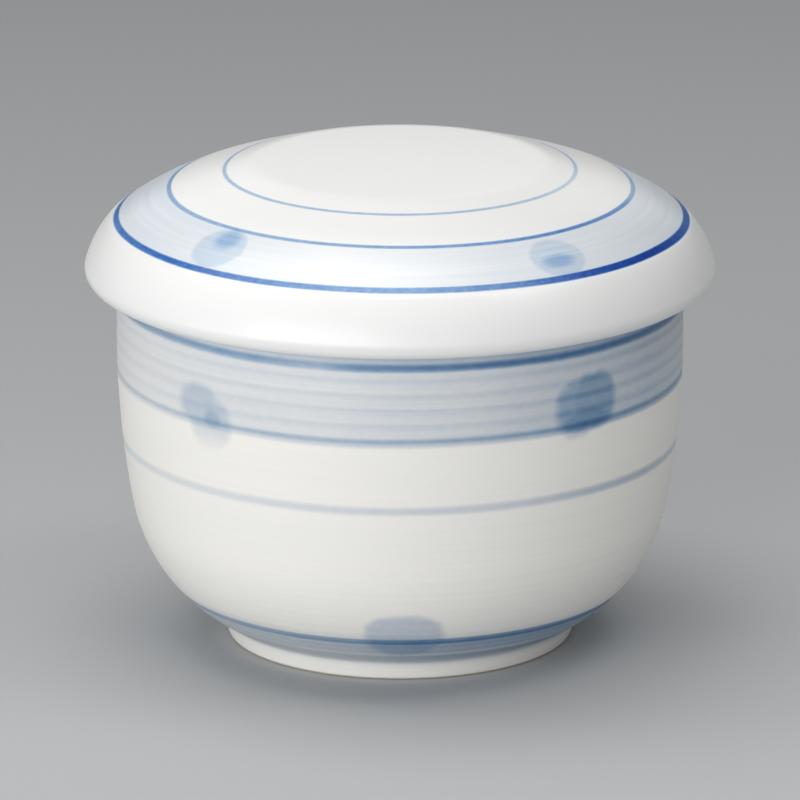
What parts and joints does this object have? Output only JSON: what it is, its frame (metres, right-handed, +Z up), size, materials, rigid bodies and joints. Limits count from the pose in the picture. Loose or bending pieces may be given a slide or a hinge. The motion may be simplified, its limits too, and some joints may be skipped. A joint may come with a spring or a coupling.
{
  "type": "chawanmushi cup with lid",
  "caption": "Round porcelain steaming cup on a low foot ring, with thrown rings under the rim and a domed lid that overhangs it.",
  "frame": {"origin": "middle of the foot ring's underside, on the surface that the cup stands on", "axes": "+Z up along the axis that both pieces are turned about; -Y faces the viewer in the picture, +X to the right"},
  "size_m": [0.0954, 0.0954, 0.0741],
  "materials": {
    "cup_glaze": "satin white glaze over a painted blue band, lines and brush dabs",
    "lid_glaze": "glossy white glaze over painted blue rings and brush dabs"
  },
  "bodies": {
    "root": {"cup": "cup_glaze", "lid": "lid_glaze"}
  },
  "joints": []
}
